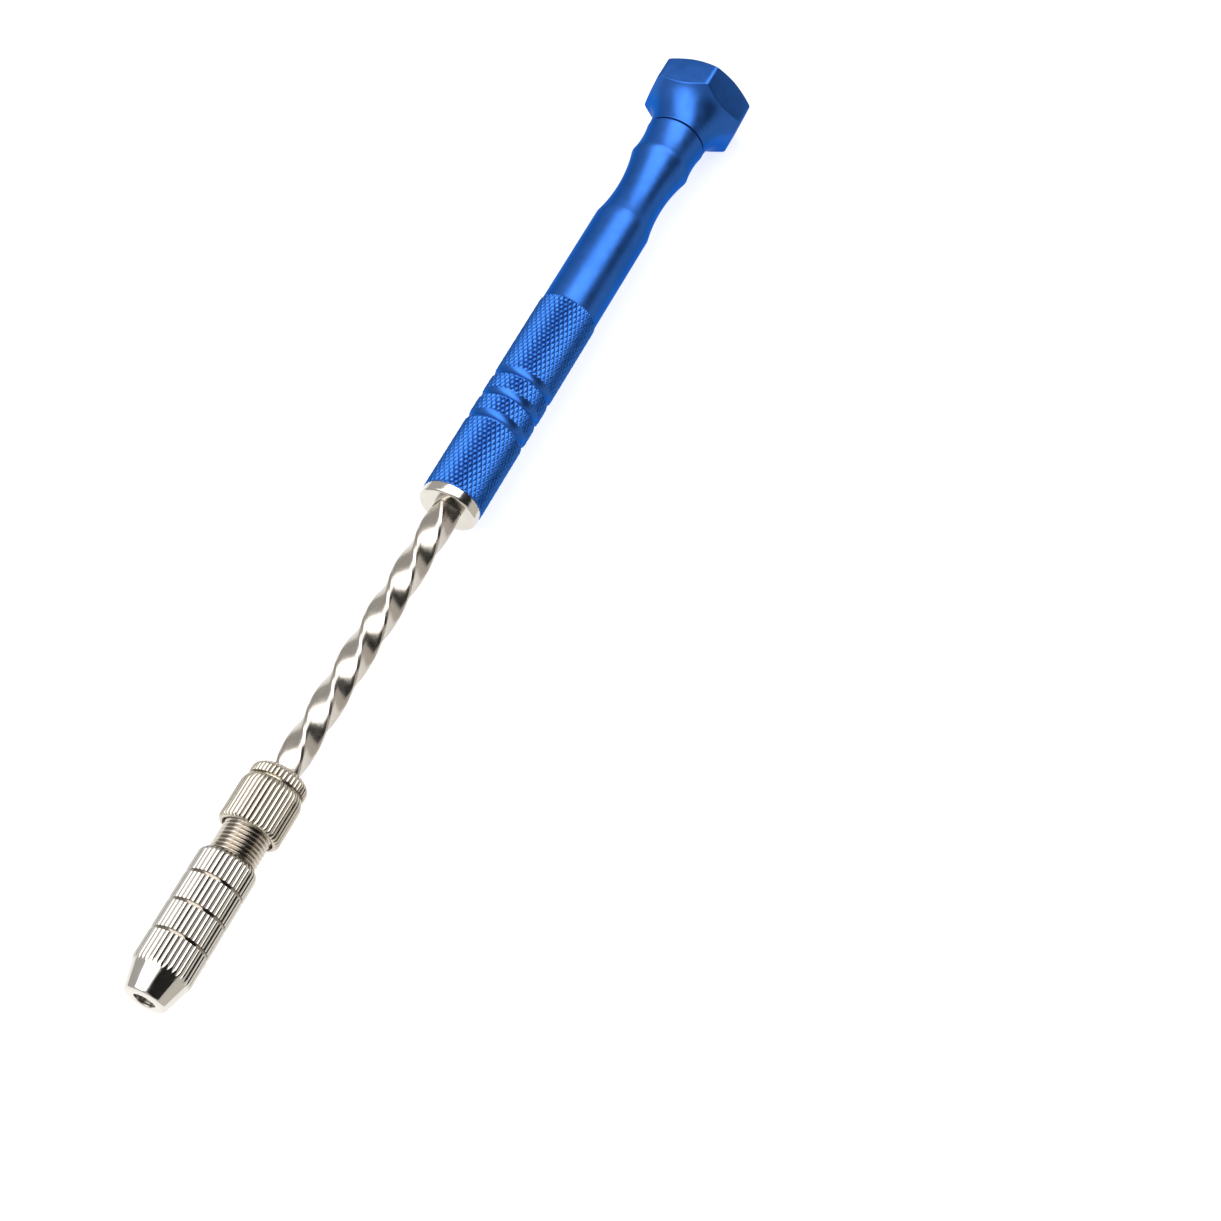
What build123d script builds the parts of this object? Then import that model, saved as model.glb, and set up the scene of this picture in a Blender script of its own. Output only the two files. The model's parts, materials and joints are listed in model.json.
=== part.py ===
from build123d import *
import os
from math import asin, cos, pi, radians, sin, sqrt, tan

# Push-type pin vise. Millimetres. The tool lies along X with its nose towards +X,
# and the origin is on the spindle axis at the collet's mouth.

# --- driving dimensions: chuck ---------------------------------------------------------
NOSE_LENGTH = 26.4
NOSE_D = 10.45
NOSE_WALL = 1.025
NOSE_CONE_LENGTH = 5.4
NOSE_FACE_D = 7.5
NOSE_LIP_R = 0.5
NOSE_HOLE_D = 3.8
NOSE_HOLE_LENGTH = 0.7
NOSE_INNER_CONE_LENGTH = 9.4
NOSE_RECESS = 0.8
NOSE_GROOVES = 3
NOSE_GROOVE_FIRST = 5.1
NOSE_GROOVE_PITCH = 5.4
NOSE_GROOVE_W = 0.5
NOSE_GROOVE_DEPTH = 0.35
NOSE_REAR_CHAMFER = 0.5

THREAD_GAP = 0.05
THREAD_EXPOSED = 5.5
STUD_WALL = 1.65
STUD_FRONT_GAP = 0.1

COLLET_BORE_D = 2.0
COLLET_BORE_LENGTH = 8.0
COLLET_RELIEF_D = 3.0
COLLET_LENGTH = 18.0
COLLET_CONE_LENGTH = 5.95
COLLET_SLIT_W = 0.4
COLLET_SLIT_LENGTH = 13.5
COLLET_CONE_GAP = 0.06
COLLET_BORE_GAP = 0.1
COLLET_END_SPARE = 1.0

SLEEVE_LENGTH = 11.7
SLEEVE_RISE = 0.25
SLEEVE_RECESS_GAP = 0.45
SLEEVE_RECESS_DEPTH = 0.8
SLEEVE_FRONT_CHAMFER = 0.5
SLEEVE_REAR_CHAMFER = 0.5
SLEEVE_REAR_CHAMFER_LENGTH = 1.2
SLEEVE_COLLAR_LENGTH = 2.4
SLEEVE_COLLAR_STEP = 0.425
SLEEVE_COLLAR_CHAMFER = 0.9
SLEEVE_GROOVE_W = 0.4
SLEEVE_GROOVE_DEPTH = 0.7
SLEEVE_REAR_WALL = 0.6
SHANK_STEP = 0.65

# --- driving dimensions: twisted spindle -----------------------------------------------
SPIRAL_D = 5.55
SPIRAL_LAND_W = 0.72
SPIRAL_LEAD = 38.0
SPIRAL_PHASE = 3.0
STROKE = 50.0
STROKE_SPARE = 6.9
SPIRAL_SEAT_DEPTH = 2.0
TAIL_STEP = 0.4
TAIL_FRONT_LENGTH = 8.0
TAIL_REAR_LENGTH = 4.0
ROD_PIN_D = 1.5
HEAD_PIN_D = 1.2

# --- driving dimensions: guide nut and the parts behind it -----------------------------
GUIDE_FLANGE_STEP = 0.15
GUIDE_FLANGE_LENGTH = 2.0
GUIDE_FLANGE_CHAMFER = 0.4
GUIDE_SEAT_STEP = 0.75
GUIDE_SPIGOT_LENGTH = 8.0
GUIDE_GAP = 0.1
BUFFER_LENGTH = 1.0
BUFFER_GAP = 0.3
HEAD_LENGTH = 6.0
HEAD_LIP = 0.725
HEAD_SIDE_GAP = 0.25
HEAD_GAP = 0.05
BALL_D = 3.0
BALL_GAP = 0.04
BALL_SEAT_DEPTH = 0.6
FOLLOWER_FLANGE_LENGTH = 1.2
FOLLOWER_SIDE_GAP = 0.2
FOLLOWER_STUB_GAP = 0.35
FOLLOWER_STUB_LENGTH = 3.0

SPRING_WIRE_D = 0.5
SPRING_SIDE_GAP = 0.5
SPRING_COILS = 18
PLATE_LENGTH = 1.0
PLATE_SIDE_GAP = 0.1
PLATE_HOLE_D = 3.0
PLATE_GAP = 0.5

# --- driving dimensions: handle --------------------------------------------------------
HANDLE_WALL = 1.9
HANDLE_FRONT_CHAMFER = 0.2
GRIP_LENGTH = 44.3
GRIP_STEP = 0.225
GRIP_STEP_LENGTH = 0.2
GRIP_GROOVES = 3
GRIP_GROOVE_FIRST = 16.1
GRIP_GROOVE_PITCH = 5.0
GRIP_GROOVE_W = 1.9
GRIP_GROOVE_DEPTH = 0.4
SMOOTH_LENGTH = 22.7
WAIST_LENGTH = 16.1
WAIST_DEPTH = 1.0
WAIST_MIN_SHARE = 0.47
RING_LENGTH = 6.8
RING_FRONT_RISE = 0.15
RING_MIDDLE_DIP = 0.125
RING_REAR_RISE = 0.2
END_WALL = 3.5

# --- driving dimensions: swivel cap ----------------------------------------------------
CAP_FLATS = 17.7
CAP_NECK_STEP = 0.05
CAP_NECK_LENGTH = 0.3
CAP_FLARE_ANGLE = 66.0
CAP_CORNER_EDGE = 4.5
CAP_CHAMFER_ANGLE = 30.0
SEAM_WASHER_LENGTH = 0.3
SEAM_WASHER_INSET = 0.55
SWIVEL_PLAY = 0.1
SCREW_SHOULDER_D = 4.0
SCREW_SHOULDER_GAP = 0.05
SCREW_WELL_STEP = 0.3
SCREW_HEAD_GAP = 0.3
SCREW_HEAD_LENGTH = 2.0
SCREW_SOCKET_FLATS = 2.5
SCREW_SOCKET_DEPTH = 1.2
SCREW_THREAD_STEP = 0.5
SCREW_THREAD_LENGTH = 6.0
SCREW_WASHER_LENGTH = 0.5
CAP_HOLE_SPARE = 0.6

CUT_SPARE = 1.0

# --- diameters that follow from the fits ------------------------------------------------
THREAD_D = NOSE_D - 2 * (NOSE_WALL + THREAD_GAP)
STUD_BORE_D = THREAD_D - 2 * STUD_WALL
COLLET_SHANK_D = STUD_BORE_D - 2 * COLLET_BORE_GAP
SHANK_D = THREAD_D - 2 * SHANK_STEP
SLEEVE_D = NOSE_D + 2 * SLEEVE_RISE
SLEEVE_RECESS_D = THREAD_D + 2 * SLEEVE_RECESS_GAP
SLEEVE_COLLAR_D = SLEEVE_D - 2 * SLEEVE_COLLAR_STEP
SPIRAL_SIDE = SPIRAL_D * cos(pi / 4 - asin(SPIRAL_LAND_W / SPIRAL_D))
TAIL_D = SPIRAL_SIDE - 2 * TAIL_STEP
HEAD_D = SPIRAL_D + 2 * HEAD_LIP
HANDLE_BORE_D = HEAD_D + 2 * HEAD_SIDE_GAP
HANDLE_D = HANDLE_BORE_D + 2 * HANDLE_WALL
GUIDE_SPIGOT_D = HANDLE_BORE_D + 2 * GUIDE_SEAT_STEP
GUIDE_FLANGE_D = HANDLE_D - 2 * GUIDE_FLANGE_STEP
BUFFER_HOLE_D = SPIRAL_D + 2 * BUFFER_GAP
FOLLOWER_D = HANDLE_BORE_D - 2 * FOLLOWER_SIDE_GAP
SPRING_MEAN_D = HANDLE_BORE_D - 2 * SPRING_SIDE_GAP - SPRING_WIRE_D
FOLLOWER_STUB_D = SPRING_MEAN_D - SPRING_WIRE_D - 2 * FOLLOWER_STUB_GAP
PLATE_D = HANDLE_BORE_D - 2 * PLATE_SIDE_GAP
SMOOTH_D = HANDLE_D - 2 * GRIP_STEP
WAIST_D = HANDLE_D - 2 * WAIST_DEPTH
RING_FRONT_D = HANDLE_D + 2 * RING_FRONT_RISE
RING_MIDDLE_D = HANDLE_D - 2 * RING_MIDDLE_DIP
RING_REAR_D = HANDLE_D + 2 * RING_REAR_RISE
SEAM_WASHER_D = RING_REAR_D - 2 * SEAM_WASHER_INSET
SCREW_WELL_D = HANDLE_BORE_D - 2 * SCREW_WELL_STEP
SCREW_HEAD_D = SCREW_WELL_D - 2 * SCREW_HEAD_GAP
SCREW_THREAD_D = SCREW_SHOULDER_D - 2 * SCREW_THREAD_STEP
SCREW_HOLE_D = SCREW_SHOULDER_D + 2 * SCREW_SHOULDER_GAP
CAP_NECK_D = RING_REAR_D - 2 * CAP_NECK_STEP

# --- stations along X, worked out from the lengths -------------------------------------
NOSE_FACE = NOSE_RECESS
NOSE_REAR = NOSE_FACE - NOSE_LENGTH
SLEEVE_FRONT = NOSE_REAR - THREAD_EXPOSED
SLEEVE_REAR = SLEEVE_FRONT - SLEEVE_LENGTH
SLEEVE_GROOVE_REAR = SLEEVE_REAR + SLEEVE_COLLAR_LENGTH
SLEEVE_GROOVE_FRONT = SLEEVE_GROOVE_REAR + SLEEVE_GROOVE_W
SHANK_REAR = SLEEVE_REAR + SLEEVE_REAR_WALL
SPIRAL_FRONT = SHANK_REAR + SPIRAL_SEAT_DEPTH
GUIDE_FACE = SLEEVE_REAR - STROKE - STROKE_SPARE
HANDLE_FRONT = GUIDE_FACE - GUIDE_FLANGE_LENGTH
GUIDE_REAR = HANDLE_FRONT - GUIDE_SPIGOT_LENGTH
BUFFER_REAR = GUIDE_REAR - BUFFER_LENGTH
HEAD_FRONT = BUFFER_REAR - HEAD_GAP
HEAD_REAR = HEAD_FRONT - HEAD_LENGTH
BALL_CENTRE = HEAD_REAR + BALL_SEAT_DEPTH - BALL_D / 2
FOLLOWER_FRONT = BALL_CENTRE - BALL_D / 2 + BALL_SEAT_DEPTH
FOLLOWER_REAR = FOLLOWER_FRONT - FOLLOWER_FLANGE_LENGTH
GRIP_REAR = HANDLE_FRONT - GRIP_LENGTH
WAIST_FRONT = GRIP_REAR - SMOOTH_LENGTH
RING_FRONT = WAIST_FRONT - WAIST_LENGTH
HANDLE_REAR = RING_FRONT - RING_LENGTH
WALL_FRONT = HANDLE_REAR + END_WALL
SCREW_HEAD_REAR = WALL_FRONT + SCREW_WASHER_LENGTH + SWIVEL_PLAY / 2
SCREW_HEAD_FRONT = SCREW_HEAD_REAR + SCREW_HEAD_LENGTH
PLATE_REAR = SCREW_HEAD_FRONT + PLATE_GAP
PLATE_FRONT = PLATE_REAR + PLATE_LENGTH
CAP_FRONT = HANDLE_REAR - SEAM_WASHER_LENGTH - SWIVEL_PLAY
CAP_CORNER_R = CAP_FLATS / sqrt(3)
CAP_CHAMFER_LENGTH = (CAP_CORNER_R - CAP_FLATS / 2) * tan(radians(CAP_CHAMFER_ANGLE))
FLARE_R = (CAP_CORNER_R - CAP_NECK_D / 2) / (1 - cos(radians(CAP_FLARE_ANGLE)))
FLARE_FRONT = CAP_FRONT - CAP_NECK_LENGTH
FLARE_REAR = FLARE_FRONT - FLARE_R * sin(radians(CAP_FLARE_ANGLE))
CAP_EDGE_REAR = FLARE_REAR - CAP_CORNER_EDGE
CAP_REAR = CAP_EDGE_REAR - CAP_CHAMFER_LENGTH


def yz_plane(x):
    """The plane across the tool's axis at x, with local X along +Y and local Y along +Z."""
    return Plane(origin=(x, 0, 0), x_dir=(0, 1, 0), z_dir=(1, 0, 0))


def rod(x_low, x_high, diameter):
    return extrude(yz_plane(x_low) * Circle(diameter / 2), x_high - x_low)


def cross_rod(x, length, diameter):
    """A round pin across the axis, along Y, centred on it."""
    return Pos(x, 0, 0) * Rot(90, 0, 0) * Cylinder(diameter / 2, length)


def turned(points):
    """Solid of revolution about X from a closed outline of (x, radius) corners."""
    return revolve(make_face(Polyline(*points, close=True)), Axis.X, 360)


def turned_outline(*edges):
    """Solid of revolution about X from edges that close an outline above the axis."""
    return revolve(make_face(Wire(edges)), Axis.X, 360)


def ring_groove(x, surface_r, width, depth):
    """A cutter for one round-bottomed groove around a cylinder."""
    lip = (x - width / 2, surface_r)
    bottom = (x, surface_r - depth)
    far_lip = (x + width / 2, surface_r)
    arc = ThreePointArc(lip, bottom, far_lip)
    outside_r = surface_r + CUT_SPARE
    closing = Polyline(far_lip, (far_lip[0], outside_r), (lip[0], outside_r), lip)
    return turned_outline(arc, *closing.edges())


def square_groove(x, surface_r, width, depth):
    """A cutter for one square groove around a cylinder."""
    x_low = x - width / 2
    x_high = x + width / 2
    outside = rod(x_low, x_high, 2 * (surface_r + CUT_SPARE))
    return outside - rod(x_low, x_high, 2 * (surface_r - depth))


def tube(x_low, x_high, outer_d, inner_d):
    return rod(x_low, x_high, outer_d) - rod(x_low, x_high, inner_d)


def twisted_bar(x_low, x_high, side, diameter):
    """Square bar with its corners ground to a diameter, twisted left-handed about X."""
    turn = SPIRAL_PHASE - 360 * x_low / SPIRAL_LEAD
    section = yz_plane(x_low) * (Rot(0, 0, turn) * (Rectangle(side, side) & Circle(diameter / 2)))
    helix = Helix(
        pitch=SPIRAL_LEAD,
        height=x_high - x_low,
        radius=1,
        center=(x_low, 0, 0),
        direction=(1, 0, 0),
        lefthand=True,
    )
    return sweep(section, path=Line((x_low, 0, 0), (x_high, 0, 0)), binormal=helix)


# --- chuck -----------------------------------------------------------------------------
def cone_slope():
    """Radius gained per millimetre behind the nose cap's inner cone mouth."""
    return (THREAD_D - NOSE_HOLE_D) / 2 / NOSE_INNER_CONE_LENGTH


def nose_cone_mouth():
    return NOSE_FACE - NOSE_HOLE_LENGTH


def nose_bore_front():
    """Where the nose cap's inner cone meets its threaded bore."""
    return nose_cone_mouth() - (THREAD_D / 2 + THREAD_GAP - NOSE_HOLE_D / 2) / cone_slope()


def make_nose_cap():
    cone_rear = NOSE_FACE - NOSE_CONE_LENGTH
    outside = [
        (NOSE_REAR, THREAD_D / 2 + THREAD_GAP),
        (NOSE_REAR, NOSE_D / 2 - NOSE_REAR_CHAMFER),
        (NOSE_REAR + NOSE_REAR_CHAMFER, NOSE_D / 2),
        (cone_rear, NOSE_D / 2),
        (NOSE_FACE - NOSE_LIP_R, NOSE_FACE_D / 2),
        (NOSE_FACE, NOSE_FACE_D / 2 - NOSE_LIP_R),
    ]
    inside = [
        (NOSE_FACE, NOSE_HOLE_D / 2),
        (nose_cone_mouth(), NOSE_HOLE_D / 2),
        (nose_bore_front(), THREAD_D / 2 + THREAD_GAP),
    ]
    cap = turned(outside + inside)
    for n in range(NOSE_GROOVES):
        x = cone_rear - NOSE_GROOVE_FIRST - n * NOSE_GROOVE_PITCH
        cap -= square_groove(x, NOSE_D / 2, NOSE_GROOVE_W, NOSE_GROOVE_DEPTH)
    return cap


def collet_cone_r(x):
    """Radius of the collet's cone at x, inside the nose cap's cone by the cone gap."""
    return NOSE_HOLE_D / 2 + (nose_cone_mouth() - x) * cone_slope() - COLLET_CONE_GAP


def make_collet():
    head_r = collet_cone_r(-COLLET_CONE_LENGTH)
    shank_front = stud_front() + COLLET_BORE_GAP
    body = turned(
        [
            (0, 0),
            (0, collet_cone_r(0)),
            (-COLLET_CONE_LENGTH, head_r),
            (shank_front + head_r - COLLET_SHANK_D / 2, head_r),
            (shank_front, COLLET_SHANK_D / 2),
            (-COLLET_LENGTH, COLLET_SHANK_D / 2),
            (-COLLET_LENGTH, 0),
        ]
    )
    body -= rod(-COLLET_BORE_LENGTH, 0, COLLET_BORE_D)
    body -= rod(-COLLET_LENGTH, -COLLET_BORE_LENGTH, COLLET_RELIEF_D)
    for turn in (45, 135):
        body -= Rot(turn, 0, 0) * Box(2 * COLLET_SLIT_LENGTH, 2 * THREAD_D, COLLET_SLIT_W)
    return body


def stud_front():
    """Front end of the threaded stud, just behind the nose cap's inner cone."""
    return nose_bore_front() - STUD_FRONT_GAP


def collet_pocket_depth():
    return COLLET_LENGTH + stud_front() + COLLET_END_SPARE


def make_chuck_body():
    shoulder = SLEEVE_FRONT - SLEEVE_RECESS_DEPTH
    body = rod(SHANK_REAR, shoulder, SHANK_D) + rod(shoulder, stud_front(), THREAD_D)
    body -= rod(stud_front() - collet_pocket_depth(), stud_front(), STUD_BORE_D)
    body -= rod(SHANK_REAR, SPIRAL_FRONT, SPIRAL_D)
    body -= rod(SPIRAL_FRONT, SPIRAL_FRONT + TAIL_FRONT_LENGTH, TAIL_D)
    return body - cross_rod(rod_pin_x(), SHANK_D * 2, ROD_PIN_D)


def rod_pin_x():
    return SPIRAL_FRONT + TAIL_FRONT_LENGTH / 2


def make_rod_pin():
    return cross_rod(rod_pin_x(), SHANK_D, ROD_PIN_D) & rod(SHANK_REAR, SLEEVE_FRONT, SHANK_D)


def make_rear_sleeve():
    """Knurled sleeve with a stepped collar behind one turned groove."""
    outer_r = SLEEVE_D / 2
    collar_r = SLEEVE_COLLAR_D / 2
    groove_r = collar_r - SLEEVE_GROOVE_DEPTH
    spindle_r = SPIRAL_D / 2 + GUIDE_GAP
    recess_floor = SLEEVE_FRONT - SLEEVE_RECESS_DEPTH
    return turned(
        [
            (SLEEVE_REAR, spindle_r),
            (SLEEVE_REAR, collar_r - SLEEVE_COLLAR_CHAMFER),
            (SLEEVE_REAR + SLEEVE_COLLAR_CHAMFER, collar_r),
            (SLEEVE_GROOVE_REAR, collar_r),
            (SLEEVE_GROOVE_REAR, groove_r),
            (SLEEVE_GROOVE_FRONT, groove_r),
            (SLEEVE_GROOVE_FRONT, outer_r - SLEEVE_REAR_CHAMFER),
            (SLEEVE_GROOVE_FRONT + SLEEVE_REAR_CHAMFER_LENGTH, outer_r),
            (SLEEVE_FRONT - SLEEVE_FRONT_CHAMFER, outer_r),
            (SLEEVE_FRONT, outer_r - SLEEVE_FRONT_CHAMFER),
            (SLEEVE_FRONT, SLEEVE_RECESS_D / 2),
            (recess_floor, SLEEVE_RECESS_D / 2),
            (recess_floor, SHANK_D / 2),
            (SHANK_REAR, SHANK_D / 2),
            (SHANK_REAR, spindle_r),
        ]
    )


# --- spindle ---------------------------------------------------------------------------
def make_spiral_rod():
    bar = twisted_bar(HEAD_FRONT, SPIRAL_FRONT, SPIRAL_SIDE, SPIRAL_D)
    bar += rod(SPIRAL_FRONT, SPIRAL_FRONT + TAIL_FRONT_LENGTH, TAIL_D)
    bar += rod(HEAD_FRONT - TAIL_REAR_LENGTH, HEAD_FRONT, TAIL_D)
    bar -= cross_rod(rod_pin_x(), SHANK_D, ROD_PIN_D)
    return bar - cross_rod(head_pin_x(), HEAD_D, HEAD_PIN_D)


def head_pin_x():
    return HEAD_FRONT - TAIL_REAR_LENGTH / 2


def make_rod_head():
    head = rod(HEAD_REAR, HEAD_FRONT, HEAD_D)
    head -= rod(HEAD_FRONT - TAIL_REAR_LENGTH, HEAD_FRONT, TAIL_D)
    head -= ball_pocket()
    return head - cross_rod(head_pin_x(), HEAD_D * 2, HEAD_PIN_D)


def make_head_pin():
    return cross_rod(head_pin_x(), HEAD_D, HEAD_PIN_D) & rod(HEAD_REAR, HEAD_FRONT, HEAD_D)


def ball(diameter):
    """A ball with its poles on the tool's axis."""
    return Pos(BALL_CENTRE, 0, 0) * Rot(0, 90, 0) * Sphere(diameter / 2)


def ball_pocket():
    return ball(BALL_D + 2 * BALL_GAP)


def make_thrust_ball():
    return ball(BALL_D)


def make_spring_follower():
    follower = rod(FOLLOWER_REAR, FOLLOWER_FRONT, FOLLOWER_D)
    follower += rod(FOLLOWER_REAR - FOLLOWER_STUB_LENGTH, FOLLOWER_REAR, FOLLOWER_STUB_D)
    return follower - ball_pocket()


# --- handle ----------------------------------------------------------------------------
def make_guide_nut():
    flange_r = GUIDE_FLANGE_D / 2
    spigot_r = GUIDE_SPIGOT_D / 2
    nut = turned(
        [
            (GUIDE_REAR, 0),
            (GUIDE_REAR, spigot_r),
            (HANDLE_FRONT, spigot_r),
            (HANDLE_FRONT, flange_r),
            (GUIDE_FACE - GUIDE_FLANGE_CHAMFER, flange_r),
            (GUIDE_FACE, flange_r - GUIDE_FLANGE_CHAMFER),
            (GUIDE_FACE, 0),
        ]
    )
    hole = twisted_bar(
        GUIDE_REAR - CUT_SPARE,
        GUIDE_FACE + CUT_SPARE,
        SPIRAL_SIDE + 2 * GUIDE_GAP,
        SPIRAL_D + 2 * GUIDE_GAP,
    )
    return nut - hole


def make_buffer_washer():
    return tube(BUFFER_REAR, GUIDE_REAR, GUIDE_SPIGOT_D, BUFFER_HOLE_D)


def make_handle_tube():
    """Knurled grip, plain stretch, waist and hollowed end ring, bored from the front."""
    grip_r = HANDLE_D / 2
    smooth_r = SMOOTH_D / 2
    ring_rear = (HANDLE_REAR, RING_REAR_D / 2)
    ring_middle = ((HANDLE_REAR + RING_FRONT) / 2, RING_MIDDLE_D / 2)
    ring_front = (RING_FRONT, RING_FRONT_D / 2)
    waist_middle = (WAIST_FRONT - WAIST_LENGTH * WAIST_MIN_SHARE, WAIST_D / 2)
    waist_front = (WAIST_FRONT, smooth_r)
    rest = Polyline(
        waist_front,
        (GRIP_REAR, smooth_r),
        (GRIP_REAR + GRIP_STEP_LENGTH, grip_r),
        (HANDLE_FRONT - HANDLE_FRONT_CHAMFER, grip_r),
        (HANDLE_FRONT, grip_r - HANDLE_FRONT_CHAMFER),
        (HANDLE_FRONT, 0),
        (HANDLE_REAR, 0),
        ring_rear,
    )
    handle = turned_outline(
        ThreePointArc(ring_rear, ring_middle, ring_front),
        ThreePointArc(ring_front, waist_middle, waist_front),
        *rest.edges(),
    )
    handle -= rod(BUFFER_REAR, HANDLE_FRONT, GUIDE_SPIGOT_D)
    handle -= rod(PLATE_REAR, BUFFER_REAR, HANDLE_BORE_D)
    handle -= rod(WALL_FRONT, PLATE_REAR, SCREW_WELL_D)
    handle -= rod(HANDLE_REAR, WALL_FRONT, SCREW_HOLE_D)
    for n in range(GRIP_GROOVES):
        x = HANDLE_FRONT - GRIP_GROOVE_FIRST - n * GRIP_GROOVE_PITCH
        handle -= ring_groove(x, grip_r, GRIP_GROOVE_W, GRIP_GROOVE_DEPTH)
    return handle


def make_spring_plate():
    return tube(PLATE_REAR, PLATE_FRONT, PLATE_D, PLATE_HOLE_D)


def make_return_spring():
    """Round wire coil from the plate to the follower."""
    wire_r = SPRING_WIRE_D / 2
    x_low = PLATE_FRONT + wire_r
    x_high = FOLLOWER_REAR - wire_r
    path = Helix(
        pitch=(x_high - x_low) / SPRING_COILS,
        height=x_high - x_low,
        radius=SPRING_MEAN_D / 2,
        center=(x_low, 0, 0),
        direction=(1, 0, 0),
    )
    section = Plane(origin=path @ 0, z_dir=path % 0) * Circle(wire_r)
    return sweep(section, path=path)


# --- swivel cap ------------------------------------------------------------------------
def flare_point(share):
    """(x, radius) on the cap's concave flare, from its neck at 0 to the corners at 1."""
    angle = radians(CAP_FLARE_ANGLE) * share
    return FLARE_FRONT - FLARE_R * sin(angle), CAP_NECK_D / 2 + FLARE_R * (1 - cos(angle))


def make_swivel_cap():
    flare = ThreePointArc(flare_point(0), flare_point(0.5), flare_point(1))
    rest = Polyline(
        (FLARE_REAR, CAP_CORNER_R),
        (FLARE_REAR, CAP_CORNER_R + CUT_SPARE),
        (CAP_EDGE_REAR, CAP_CORNER_R + CUT_SPARE),
        (CAP_EDGE_REAR, CAP_CORNER_R),
        (CAP_REAR, CAP_FLATS / 2),
        (CAP_REAR, 0),
        (CAP_FRONT, 0),
        (CAP_FRONT, CAP_NECK_D / 2),
        (FLARE_FRONT, CAP_NECK_D / 2),
    )
    body = turned_outline(flare, *rest.edges())
    hexagon = RegularPolygon(CAP_FLATS / 2, 6, major_radius=False)
    body &= extrude(yz_plane(CAP_REAR) * hexagon, CAP_FRONT - CAP_REAR)
    thread_hole = rod(screw_thread_rear() - CAP_HOLE_SPARE, CAP_FRONT, SCREW_THREAD_D)
    return body - thread_hole


def screw_thread_rear():
    return CAP_FRONT - SCREW_THREAD_LENGTH


def make_pivot_screw():
    screw = rod(SCREW_HEAD_REAR, SCREW_HEAD_FRONT, SCREW_HEAD_D)
    screw += rod(CAP_FRONT, SCREW_HEAD_REAR, SCREW_SHOULDER_D)
    screw += rod(screw_thread_rear(), CAP_FRONT, SCREW_THREAD_D)
    socket = RegularPolygon(SCREW_SOCKET_FLATS / 2, 6, major_radius=False)
    return screw - extrude(yz_plane(SCREW_HEAD_FRONT) * socket, -SCREW_SOCKET_DEPTH)


def make_pivot_washer():
    return tube(WALL_FRONT, WALL_FRONT + SCREW_WASHER_LENGTH, SCREW_HEAD_D, SCREW_HOLE_D)


def make_thrust_washer():
    return tube(HANDLE_REAR - SEAM_WASHER_LENGTH, HANDLE_REAR, SEAM_WASHER_D, SCREW_HOLE_D)


PIECES = {
    "handle_tube": make_handle_tube,
    "guide_nut": make_guide_nut,
    "buffer_washer": make_buffer_washer,
    "spring_plate": make_spring_plate,
    "return_spring": make_return_spring,
    "spring_follower": make_spring_follower,
    "thrust_ball": make_thrust_ball,
    "spiral_rod": make_spiral_rod,
    "rod_head": make_rod_head,
    "head_pin": make_head_pin,
    "chuck_body": make_chuck_body,
    "rod_pin": make_rod_pin,
    "rear_sleeve": make_rear_sleeve,
    "collet": make_collet,
    "nose_cap": make_nose_cap,
    "swivel_cap": make_swivel_cap,
    "pivot_screw": make_pivot_screw,
    "pivot_washer": make_pivot_washer,
    "thrust_washer": make_thrust_washer,
}

os.makedirs("parts", exist_ok=True)
for name, make in PIECES.items():
    export_step(make(), f"parts/{name}.step")
print("collet mouth to cap end", round(-CAP_REAR, 2), "overall", round(NOSE_FACE - CAP_REAR, 2))
print("spindle turn per stroke, degrees", round(360 * STROKE / SPIRAL_LEAD, 1))
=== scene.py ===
import json
from math import acos, cos, pi, radians, sin, sqrt, tan, tau

import bpy
import numpy as np
from mathutils import Matrix, Vector


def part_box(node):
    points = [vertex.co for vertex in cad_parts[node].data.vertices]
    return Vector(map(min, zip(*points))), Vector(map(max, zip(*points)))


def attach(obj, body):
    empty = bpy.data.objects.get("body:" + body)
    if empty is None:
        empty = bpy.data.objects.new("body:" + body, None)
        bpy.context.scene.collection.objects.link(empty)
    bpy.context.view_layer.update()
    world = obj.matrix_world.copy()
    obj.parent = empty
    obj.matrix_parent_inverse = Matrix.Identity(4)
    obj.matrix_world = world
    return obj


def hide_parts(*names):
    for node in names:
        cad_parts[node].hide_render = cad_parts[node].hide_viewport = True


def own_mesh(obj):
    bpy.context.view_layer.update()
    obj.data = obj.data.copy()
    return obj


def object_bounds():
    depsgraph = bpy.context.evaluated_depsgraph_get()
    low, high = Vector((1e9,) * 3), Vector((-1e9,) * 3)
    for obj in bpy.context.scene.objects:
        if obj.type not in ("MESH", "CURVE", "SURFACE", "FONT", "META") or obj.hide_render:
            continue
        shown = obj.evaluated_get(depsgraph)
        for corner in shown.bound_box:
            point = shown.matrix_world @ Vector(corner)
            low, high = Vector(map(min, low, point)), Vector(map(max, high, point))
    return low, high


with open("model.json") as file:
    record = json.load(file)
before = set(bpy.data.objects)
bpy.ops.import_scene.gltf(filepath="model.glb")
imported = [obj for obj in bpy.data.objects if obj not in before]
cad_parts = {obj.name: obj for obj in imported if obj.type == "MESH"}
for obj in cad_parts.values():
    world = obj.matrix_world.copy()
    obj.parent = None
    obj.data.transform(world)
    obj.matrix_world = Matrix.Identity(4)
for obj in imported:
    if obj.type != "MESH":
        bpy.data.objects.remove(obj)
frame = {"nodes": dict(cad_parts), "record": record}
cad_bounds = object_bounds()

# Lengths here are millimetres until a mesh is made, except on the stage. Stations along X are
# worked out from the boxes of the CAD nodes, and the sizes below are those that no box shows.
MM = 0.001


def node_span(node):
    """(lowest x, highest x, largest radius) of a turned CAD node, in millimetres."""
    low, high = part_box(node)
    return low.x / MM, high.x / MM, high.y / MM


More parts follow.
